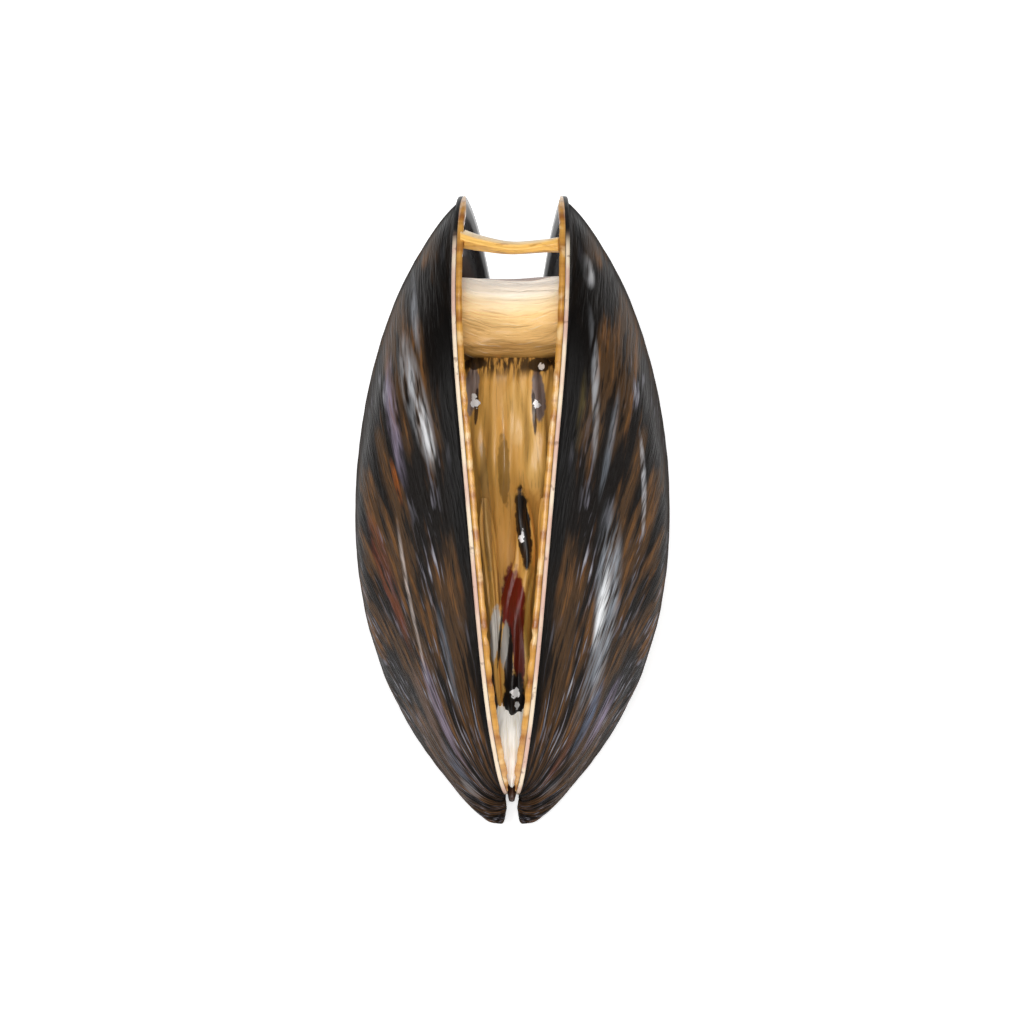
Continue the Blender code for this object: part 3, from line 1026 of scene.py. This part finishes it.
@dataclass(frozen=True)
class GrowthSheet:
    """A sheet that follows the growth law: the base of a valve or a mantle."""

    law: Growth
    arc: tuple[float, float]
    steps: int
    stages: tuple[float, ...]

    def build(self) -> tuple[bmesh.types.BMesh, list[list[bmesh.types.BMVert]], list[float]]:
        """Extrudes the margin from stage to stage towards the beak.

        Returns:
            The mesh, its rows, and the growth stage of each row.
        """
        bm = bmesh.new()
        stage_layer = bm.verts.layers.float.new("stage")
        around_layer = bm.verts.layers.float.new("around")
        edge = self.law.margin_points(self.arc, self.steps, 0.0)
        foot = self.law.margin_points(self.arc, self.steps, self.law.lip_ridge)
        ring = [bm.verts.new((self.law.lip, point.x, point.y)) for point in edge]
        for pair in zip(ring, ring[1:]):
            bm.edges.new(pair)
        rows, reached = [ring], [1.0]
        for stage in self.stages:
            ring = next_ring(bm, ring, False)
            for vert, point in zip(ring, foot):
                vert.co = self.law.grown(point, stage)
            rows.append(ring)
            reached.append(stage)
        for stage, row in zip(reached, rows):
            for step, vert in enumerate(row):
                vert[stage_layer] = stage
                vert[around_layer] = self.arc[0] + (self.arc[1] - self.arc[0]) * step / self.steps
        return bm, rows, reached


@dataclass(frozen=True)
class Wall:
    """Thickness of a grown wall, over its growth stages."""

    full: float = 1.0 * MM
    beak_thickening: float = 0.7
    lip_share: float = 0.48
    lip_stage: float = 0.86
    beak_stages: tuple[float, float] = (0.30, 0.70)
    beak_share: float = 0.02
    end_share: float = 0.02
    front_reach: float = 0.12
    front_stage: float = 0.7
    front_fade: float = 0.2
    back_reach: float = 0.08
    cardinal_stage: float = 0.83
    back_fade: float = 0.04

    def share(self, stage: float, around: float) -> float:
        """Thickness as a share of the full one.

        Args:
            stage: Stage of growth.
            around: Share of the way round the margin.

        Returns:
            The share.
        """
        at_lip = min(1.0, max(0.0, (stage - self.lip_stage) / (1.0 - self.lip_stage)))
        thick = 1.0 + self.beak_thickening * (1.0 - stage) - (1.0 - self.lip_share) * at_lip
        front = around / self.front_reach + max(0.0, stage - self.front_stage) / self.front_fade
        back = (1.0 - around) / self.back_reach + max(0.0, stage - self.cardinal_stage) / self.back_fade
        young, grown = self.beak_stages
        beak = min(1.0, max(self.beak_share, (stage - young) / (grown - young)))
        return thick * beak * min(1.0, self.end_share + front) * min(1.0, self.end_share + back)


def give_map(bm: bmesh.types.BMesh) -> None:
    """Stores each vertex's place in the growth as the mesh's own map.

    Args:
        bm: The mesh.
    """
    stage_layer, around_layer = growth_layers(bm)
    flat = bm.loops.layers.uv.new(UV_NAME)
    for face in bm.faces:
        for loop in face.loops:
            loop[flat].uv = (loop.vert[around_layer], loop.vert[stage_layer])


def thicken(bm: bmesh.types.BMesh, thickness: float,
            share: Callable[[float, float], float]) -> bmesh.types.BMesh:
    """Gives an outward-facing sheet a wall on its inner side.

    Args:
        bm: The sheet; it is freed.
        thickness: Full thickness.
        share: Share of it at a stage and a way round.

    Returns:
        The closed wall; its inner side has the second material and its rim the third.
    """
    stage_layer, around_layer = growth_layers(bm)
    shares = [share(vert[stage_layer], vert[around_layer]) for vert in bm.verts]
    mesh = bpy.data.meshes.new("sheet")
    bm.to_mesh(mesh)
    bm.free()
    sheet = added("sheet", mesh)
    group = sheet.vertex_groups.new(name="wall")
    for index, weight in enumerate(shares):
        group.add([index], weight, "REPLACE")
    for _ in range(3):
        mesh.materials.append(None)
    solidify = sheet.modifiers.new("wall", "SOLIDIFY")
    solidify.thickness = thickness
    solidify.offset = -1.0
    solidify.vertex_group = "wall"
    solidify.use_rim = True
    solidify.material_offset = 1
    solidify.material_offset_rim = 2
    solid = bmesh.new()
    solid.from_mesh(sheet.evaluated_get(bpy.context.evaluated_depsgraph_get()).to_mesh())
    bpy.data.objects.remove(sheet, do_unlink=True)
    bpy.data.meshes.remove(mesh)
    return solid


def cut_at_midline(bm: bmesh.types.BMesh, clearance: float) -> None:
    """Cuts a right-hand mesh off beside the midline, and closes the cut.

    Args:
        bm: The mesh.
        clearance: How near to the midline it may come.
    """
    cut = bmesh.ops.bisect_plane(bm, geom=[*bm.verts, *bm.edges, *bm.faces], dist=WELD, clear_outer=True,
                                 plane_co=(clearance, 0.0, 0.0), plane_no=(-1.0, 0.0, 0.0))["geom_cut"]
    rims = [item for item in cut if isinstance(item, bmesh.types.BMEdge) and item.is_boundary]
    bmesh.ops.holes_fill(bm, edges=rims)
    bmesh.ops.dissolve_degenerate(bm, dist=WELD, edges=bm.edges)


@dataclass(frozen=True)
class ValvePair:
    """The two valves, with growth ridges, a cream lip and a nacre lining.

    Each ridge noise is a scale round the margin, a scale over the stages, a seed and a weight.
    """

    law: Growth = Growth()
    wall: Wall = Wall()
    steps: int = 240
    rows: int = 96
    youngest: float = 0.11
    youth_power: float = 1.15
    dome: tuple[float, ...] = (12.0, 24.0, 36.0, 48.0, 60.0, 72.0, 82.0)
    dome_reach: tuple[float, float, float] = (-0.0009, 0.0, -0.0120)
    ridge: float = 0.10 * MM
    beak_bulge: float = 0.50 * MM
    bulge_stages: tuple[float, float] = (0.35, 0.60)
    lip_fade: float = 0.03
    young_fade: float = 0.25
    ridge_level: float = -0.35
    ridge_noises: tuple[tuple[float, ...], ...] = ((2.5, 22.0, 4.0, 0.7), (4.0, 70.0, 9.0, 0.45))
    hinge_clearance: float = 0.45 * MM

    def close_beak(self, bm: bmesh.types.BMesh, rows: list, reached: list[float]) -> None:
        """Domes the beak, and closes the narrow area between the ends of the arcs.

        Args:
            bm: The sheet.
            rows: Its rows of vertices.
            reached: The growth stage of each row.
        """
        stage_layer, _ = growth_layers(bm)
        young = [row for stage, row in zip(reached[1:], rows[1:]) if stage <= self.wall.cardinal_stage]
        for older, younger in zip(young, young[1:]):
            bm.faces.new((older[0], older[-1], younger[-1], younger[0]))
        ring = rows[-1]
        foot = [vert.co.copy() for vert in ring]
        centre = sum(foot, Vector()) / len(foot)
        reach = Vector(self.dome_reach) * AXES.length
        for angle in self.dome:
            ring = next_ring(bm, ring, True)
            rise, spread = math.sin(math.radians(angle)), math.cos(math.radians(angle))
            for vert, start in zip(ring, foot):
                vert.co = centre + (start - centre) * spread + reach * rise
                vert[stage_layer] = self.youngest * spread
        bm.faces.new(ring)

    def ridged(self, vert: bmesh.types.BMVert, stage_layer: object, around_layer: object) -> float:
        """Height of the growth ridges and of the beak's inward bulge.

        Args:
            vert: A vertex of the outer sheet.
            stage_layer: The mesh's layer of growth stages.
            around_layer: Its layer of shares of the way round.

        Returns:
            The height in metres.
        """
        stage, around = vert[stage_layer], vert[around_layer]
        height = self.ridge_level
        for around_scale, stage_scale, seed, weight in self.ridge_noises:
            height += weight * noise.noise(Vector((around * around_scale, stage * stage_scale, seed)))
        fade = min(1.0, (1.0 - stage) / self.lip_fade) * min(1.0, stage / self.young_fade)
        full, none = self.bulge_stages
        inward = max(0.0, -vert.normal.x) * max(0.0, min(1.0, (none - stage) / (none - full)))
        return self.ridge * fade * height + self.beak_bulge * inward

    def shape(self) -> bmesh.types.BMesh:
        """Right valve, open, in the row's place.

        Returns:
            The closed mesh.
        """
        stages = stages_to(self.youngest, self.rows, self.youth_power)
        bm, rows, reached = GrowthSheet(self.law, (0.0, 1.0), self.steps, stages).build()
        self.close_beak(bm, rows, reached)
        bmesh.ops.recalc_face_normals(bm, faces=bm.faces)
        stage_layer, around_layer = growth_layers(bm)
        shifted_by(bm, lambda vert: self.ridged(vert, stage_layer, around_layer))
        give_map(bm)
        solid = thicken(bm, self.wall.full, self.thickness)
        bmesh.ops.transform(solid, matrix=AXES.opened(), verts=solid.verts)
        cut_at_midline(solid, self.hinge_clearance)
        # Stores how squarely each vertex faces the gape; this places the shell's painted flank shade.
        facing = solid.verts.layers.float.new(FACING)
        solid.normal_update()
        for vert in solid.verts:
            vert[facing] = vert.normal.dot(AXES.ventral)
        return solid

    def thickness(self, stage: float, around: float) -> float:
        """Share of the full wall at a stage and a way round."""
        return self.wall.beak_share if stage < self.youngest else self.wall.share(stage, around)

    def build(self) -> list[bpy.types.Object]:
        """Makes and dresses both valves.

        Returns:
            The left and the right valve.
        """
        nacre, lip = Nacre().material(), Lip().material()
        skins = ShellSkin("shell_left", LEFT_STREAKS_AND_HIGHLIGHTS), ShellSkin("shell_right", RIGHT_STREAKS_AND_HIGHLIGHTS)
        return make_pair("valve", self.shape(), "shell", [(skin.material(), nacre, lip) for skin in skins])


@dataclass(frozen=True)
class MantlePair:
    """The two mantle lobes, each a wet sheet with a rolled golden edge."""

    law: Growth = Growth()
    wall: Wall = Wall()
    arc: tuple[float, float] = (0.065, 0.62)
    steps: int = 280
    rows: int = 40
    youngest: float = 0.50
    thickness: float = 0.75 * MM
    gap: float = 0.06 * MM
    end_taper: float = 0.03
    end_share: float = 0.15
    mean_share: float = 0.95
    frill: float = 0.30
    frill_scale: tuple[float, float] = (110.0, 5.0)
    frill_seed: float = 2.0
    youth_power: float = 1.5
    midline_clearance: float = 0.35 * MM

    def shape(self) -> bmesh.types.BMesh:
        """Right mantle, open, in the row's place.

        Returns:
            The closed mesh.
        """
        stages = stages_to(self.youngest, self.rows, self.youth_power)
        bm, _, _ = GrowthSheet(self.law, self.arc, self.steps, stages).build()
        bmesh.ops.recalc_face_normals(bm, faces=bm.faces)
        stage_layer, around_layer = growth_layers(bm)
        shifted_by(bm, lambda vert: -(self.wall.full * self.wall.share(vert[stage_layer], vert[around_layer])
                                      + self.gap))
        give_map(bm)
        solid = thicken(bm, self.thickness, self.frilled)
        bmesh.ops.transform(solid, matrix=AXES.opened(), verts=solid.verts)
        cut_at_midline(solid, self.midline_clearance)
        for face in solid.faces:
            face.material_index = 0
        return solid

    def frilled(self, stage: float, around: float) -> float:
        """Thickness of a lobe: thin at both ends, and uneven along its edge.

        Args:
            stage: Stage of growth.
            around: Share of the way round the margin.

        Returns:
            The thickness as a share of the full one.
        """
        end = min(around - self.arc[0], self.arc[1] - around) / self.end_taper
        scale = self.frill_scale
        wave = noise.noise(Vector((around * scale[0], stage * scale[1], self.frill_seed)))
        return (self.mean_share + self.frill * wave) * min(1.0, self.end_share + end)

    def build(self) -> list[bpy.types.Object]:
        """Makes and dresses both mantle lobes."""
        return make_pair("mantle", self.shape(), "mantle", [(MantleSkin().material(),)] * 2)


@dataclass(frozen=True)
class LongPart:
    """Soft part that runs along the shell, through oval sections."""

    name: str
    node: str
    slot: str
    sections: tuple[Section, ...]
    rings: int = 120
    sides: int = 72
    ripple: float = 0.18
    ripple_scale: tuple[float, float, float] = (0.9, 10.0, 3.0)
    seed: float = 0.0

    def rows(self) -> list[list[Vector]]:
        """Loops of points through the sections, rippled along the shell.

        Returns:
            The loops.
        """
        rows = []
        for along, ventral, across, width, depth in swept(self.sections, self.rings):
            row = []
            for x, h in circle(self.sides):
                wave = noise.noise(Vector((x * width * self.ripple_scale[0], along * self.ripple_scale[1],
                                           h * self.ripple_scale[2] + self.seed)))
                swell = 1.0 + self.ripple * wave
                row.append(AXES.place(along, ventral, across + x * width * swell)
                           + AXES.ventral * (h * depth * swell * MM))
            rows.append(row)
        return rows

    def build(self, material: bpy.types.Material) -> bpy.types.Object:
        """Makes and dresses the part."""
        return make_piece(self.name, loft(self.rows()), self.slot, (self.node,), (material,))


@dataclass(frozen=True)
class SpanningPart:
    """Soft part that spans from valve to valve."""

    name: str
    node: str
    slot: str
    sections: tuple[Section, ...]
    rings: int = 140
    sides: int = 96
    groove: float = 0.14
    grooves: float = 5.0
    groove_drift: float = 0.1
    end_gap: float = 0.15 * MM
    end_slant: float = 1.2 * MM

    def rows(self, walls: Sequence[BVHTree]) -> list[list[Vector]]:
        """Loops of points from the left wall to the right one.

        Args:
            walls: Trees of the pieces that the ends meet.

        Returns:
            The loops.
        """
        rows = []
        ends = {-1.0: [], 1.0: []}
        fine = swept(self.sections, self.rings)
        last = self.sections[-1][0]
        for v, a in circle(self.sides):
            for sign in ends:
                _, along, ventral, length, depth = fine[0] if sign < 0 else fine[-1]
                start = (AXES.place(along, ventral) + AXES.along * (a * length * MM)
                         + AXES.ventral * (v * depth * MM))
                hits = [tree.ray_cast(start, Vector((sign, 0.0, 0.0)))[3] for tree in walls]
                ends[sign].append(min([hit for hit in hits if hit] + [last * MM]) - self.end_gap)
        for sign, reaches in ends.items():
            ends[sign] = [min(reach, min(reaches) + self.end_slant) for reach in reaches]
        for across, along, ventral, length, depth in fine:
            row = []
            for side, (v, a) in enumerate(circle(self.sides)):
                line = noise.noise(Vector((across * self.groove_drift, a * self.grooves, v * self.grooves)))
                swell = 1.0 + self.groove * line
                share = across / last
                reach = ends[-1.0 if share < 0 else 1.0][side]
                point = (AXES.place(along, ventral) + AXES.along * (a * length * swell * MM)
                         + AXES.ventral * (v * depth * swell * MM))
                row.append(point + Vector((share * reach, 0.0, 0.0)))
            rows.append(row)
        return rows

    def build(self, material: bpy.types.Material, walls: Sequence[BVHTree]) -> bpy.types.Object:
        """Makes and dresses the part, with its ends against the walls."""
        return make_piece(self.name, loft(self.rows(walls)), self.slot, (self.node,), (material,))


@dataclass(frozen=True)
class Ligament:
    """Dark horny strip between the valves' dorsal edges."""

    start: float = -0.004
    end: float = 0.455
    half_width: float = 0.40
    front_width: float = 0.62
    half_depth: float = 0.95
    height: float = 1.15
    front_reach: float = 0.16
    thin_share: float = 0.35
    blunt_share: float = 0.55
    blunt_rate: float = 12.0
    ripple: float = 0.15
    ripple_scale: tuple[float, float] = (0.4, 3.0)
    rings: int = 60
    sides: int = 32

    def build(self) -> bpy.types.Object:
        """Makes and dresses the ligament.

        Returns:
            The piece.
        """
        turn = AXES.row_turn(0.0)
        along_scale, scale = self.ripple_scale
        rows = []
        for ring in range(self.rings + 1):
            share = ring / self.rings
            swell = self.thin_share + (1.0 - self.thin_share) * math.sin(math.pi * share) ** 0.5
            along = (self.start + (self.end - self.start) * share) * AXES.length
            front = max(0.0, 1.0 - share / self.front_reach)
            blunt = min(1.0, self.blunt_share + self.blunt_rate * share)
            width = (self.half_width + (self.front_width - self.half_width) * front) * blunt
            row = []
            for x, h in circle(self.sides):
                rough = 1.0 + self.ripple * noise.noise(Vector((ring * along_scale, h * scale, x * scale)))
                local = Vector((width * x * MM, along,
                                (self.height + self.half_depth * swell * rough * h) * MM))
                row.append(turn @ local + Vector(AXES.hinge_origin))
            rows.append(row)
        skin = PlainFlesh("ligament", "3b2012", "120906", 0.1).material()
        return make_piece("ligament_strip", loft(rows), "ligament", ("ligament",), (skin,))


@dataclass(frozen=True)
class Meat:
    """All the soft parts between the valves."""

    body: tuple[Section, ...] = (
        (0.738, -0.075, -0.3, 5.4, 5.0), (0.705, -0.055, -0.3, 6.4, 6.0), (0.640, -0.050, -0.3, 7.0, 6.8),
        (0.560, -0.055, -0.3, 6.8, 7.2), (0.500, -0.085, -0.3, 6.2, 6.6), (0.420, -0.095, -0.2, 5.2, 5.4),
        (0.330, -0.086, 0.0, 3.9, 4.4), (0.250, -0.062, 0.0, 2.6, 3.1), (0.195, -0.045, 0.0, 1.2, 1.7))
    foot: tuple[Section, ...] = (
        (0.530, 0.026, 1.0, 0.4, 0.8), (0.490, 0.022, 1.3, 0.9, 1.7), (0.420, 0.022, 1.6, 1.3, 2.2),
        (0.340, 0.026, 0.5, 1.9, 2.5), (0.260, 0.024, 0.4, 1.7, 2.3), (0.200, 0.020, 0.3, 1.4, 2.0),
        (0.160, 0.014, 0.2, 0.7, 1.1))
    left_gill: tuple[Section, ...] = (
        (0.515, 0.030, -3.2, 0.3, 0.8), (0.470, 0.026, -3.0, 0.8, 2.6), (0.380, 0.022, -2.4, 0.8, 3.0),
        (0.290, 0.018, -1.9, 0.6, 2.7), (0.215, 0.012, -1.6, 0.4, 1.8), (0.185, 0.010, -1.4, 0.2, 0.7))
    right_gill: tuple[Section, ...] = (
        (0.515, 0.020, 3.8, 0.3, 0.8), (0.470, 0.016, 3.8, 0.7, 2.4), (0.380, 0.012, 3.6, 0.7, 2.8),
        (0.290, 0.008, 3.2, 0.6, 2.5), (0.215, 0.004, 2.5, 0.4, 1.6), (0.185, 0.002, 2.2, 0.2, 0.7))
    anterior: tuple[Section, ...] = (
        (0.190, -0.002, 0.0, 1.6, 1.4), (0.158, 0.018, 0.0, 2.0, 2.4), (0.135, 0.026, 0.0, 1.9, 2.6),
        (0.105, 0.026, 0.0, 1.4, 2.4), (0.080, 0.020, 0.0, 0.9, 1.9), (0.064, 0.013, 0.0, 0.45, 1.2),
        (0.056, 0.008, 0.0, 0.1, 0.4))
    posterior: tuple[Section, ...] = (
        (-9.0, 0.800, -0.070, 5.0, 6.4), (-5.0, 0.798, -0.066, 4.9, 6.2), (0.0, 0.797, -0.064, 4.8, 6.0),
        (5.0, 0.798, -0.066, 4.9, 6.2), (9.0, 0.800, -0.070, 5.0, 6.4))
    bridge: tuple[Section, ...] = (
        (-6.2, 0.926, 0.030, 0.95, 1.5), (-4.0, 0.919, 0.026, 0.80, 1.3), (0.0, 0.911, 0.020, 0.74, 1.2),
        (4.0, 0.914, 0.026, 0.80, 1.3), (6.2, 0.916, 0.030, 0.95, 1.5))

    def build(self, linings: Sequence[bpy.types.Object]) -> None:
        """Makes and dresses every soft part.

        Args:
            linings: Pieces that the spanning parts' ends meet.
        """
        depsgraph = bpy.context.evaluated_depsgraph_get()
        walls = [BVHTree.FromObject(piece, depsgraph) for piece in linings]
        SpanningPart("posterior_muscle_flesh", "posterior_muscle", "muscle", self.posterior).build(
            MuscleFlesh().material(), walls)
        SpanningPart("siphon_bridge_flesh", "siphon_bridge", "mantle", self.bridge, groove=0.3, grooves=2.0,
                     sides=40).build(BridgeFlesh().material(), walls)
        LongPart("body_flesh", "body", "meat", self.body, rings=160, sides=128).build(
            MeatFlesh("meat").material())
        LongPart("foot_flesh", "foot", "foot", self.foot, ripple=0.35, seed=5.0).build(
            MeatFlesh("foot", 1.8, coat=0.06).material())
        gill = MeatFlesh("gill", 2.6, coat=0.12).material()
        LongPart("gill_left", "left_gill", "gill", self.left_gill, ripple=0.4, seed=9.0).build(gill)
        LongPart("gill_right", "right_gill", "gill", self.right_gill, ripple=0.4, seed=13.0).build(gill)
        LongPart("anterior_muscle_flesh", "anterior_muscle", "muscle", self.anterior, ripple=0.3,
                 seed=17.0).build(PlainFlesh("anterior_muscle", "fffdf6", "e4ded0", 0.2, 0.28).material())


class Lamp(Enum):
    """Softboxes: place from the shell's middle and size in metres, power in watts."""

    KEY = ((-0.34, -0.28, 0.50), (0.22, 0.30), 1.5)
    FILL = ((0.42, -0.18, 0.42), (0.18, 0.36), 0.9)
    FRONT = ((0.02, -0.34, 0.54), (0.30, 0.20), 1.6)
    TOP = ((0.0, 0.25, 0.65), (0.40, 0.25), 0.9)


@dataclass(frozen=True)
class Studio:
    """Pale floor, softboxes and the camera."""

    picture_width: float = 121.9 * MM
    middle_along: float = 0.4928
    camera_distance: float = 1.20
    camera_orbit: float = math.radians(1.5)
    sensor: float = 36.0
    clip_start: float = 0.01
    floor_half: float = 1.2
    floor_code: str = "f4f4f4"
    floor_glow: float = 0.60
    world_light: float = 0.16

    def build(self) -> None:
        """Makes the floor, the lights and the camera, and sets the camera."""
        self.lay_floor()
        self.hang_lamps()
        self.set_camera()

    def lay_floor(self) -> None:
        """Lays a pale floor at the foot of the frame."""
        bm = bmesh.new()
        bmesh.ops.create_grid(bm, x_segments=4, y_segments=4, size=self.floor_half)
        mesh = bpy.data.meshes.new("floor")
        bm.to_mesh(mesh)
        bm.free()
        board = Board("floor")
        grain = board.noise(board.point(), 30.0)
        colour = board.layered(self.floor_code, (grain * 0.05, "ffffff"))
        mesh.materials.append(board.finish({"Emission Strength": self.floor_glow}, Base_Color=colour,
                                           Emission_Color=colour, Roughness=grain * 0.1 + 0.85))
        added("floor", mesh)

    def hang_lamps(self) -> None:
        """Hangs the softboxes and lights the world."""
        middle = AXES.place(self.middle_along, 0.0)
        for lamp in Lamp:
            place, (width, height), power = lamp.value
            light = bpy.data.lights.new(lamp.name.lower(), "AREA")
            light.shape = "RECTANGLE"
            light.size, light.size_y = width, height
            light.energy = power
            hung = added(lamp.name.lower(), light)
            hung.location = middle + Vector(place)
            hung.rotation_euler = (-Vector(place)).to_track_quat("-Z", "Y").to_euler()
        world = bpy.data.worlds.new("studio")
        world.use_nodes = True
        inputs = world.node_tree.nodes["Background"].inputs
        inputs["Strength"].default_value = self.world_light
        inputs["Color"].default_value = tint("ffffff")
        bpy.context.scene.world = world
        bpy.context.scene.view_settings.view_transform = "Standard"

    def set_camera(self) -> None:
        """Looks square at the gape, from the ventral side, with the beaks at the bottom."""
        data = bpy.data.cameras.new("camera")
        data.sensor_width = self.sensor
        data.lens = self.sensor * self.camera_distance / self.picture_width
        data.clip_start = self.clip_start
        camera = added("camera", data)
        up = AXES.along
        back = Matrix.Rotation(self.camera_orbit, 3, up) @ AXES.ventral
        turn = Matrix((up.cross(back), up, back)).transposed().to_4x4()
        middle = AXES.place(self.middle_along, 0.0)
        camera.matrix_world = Matrix.Translation(middle + back * self.camera_distance) @ turn
        bpy.context.scene.camera = camera


def main() -> None:
    """Builds the mussel and its studio."""
    logging.basicConfig(level=logging.INFO, format="%(name)s %(message)s")
    Studio().build()
    ValvePair().build()
    linings = MantlePair().build()
    Ligament().build()
    Meat().build(linings)


if __name__ == "__main__":
    main()
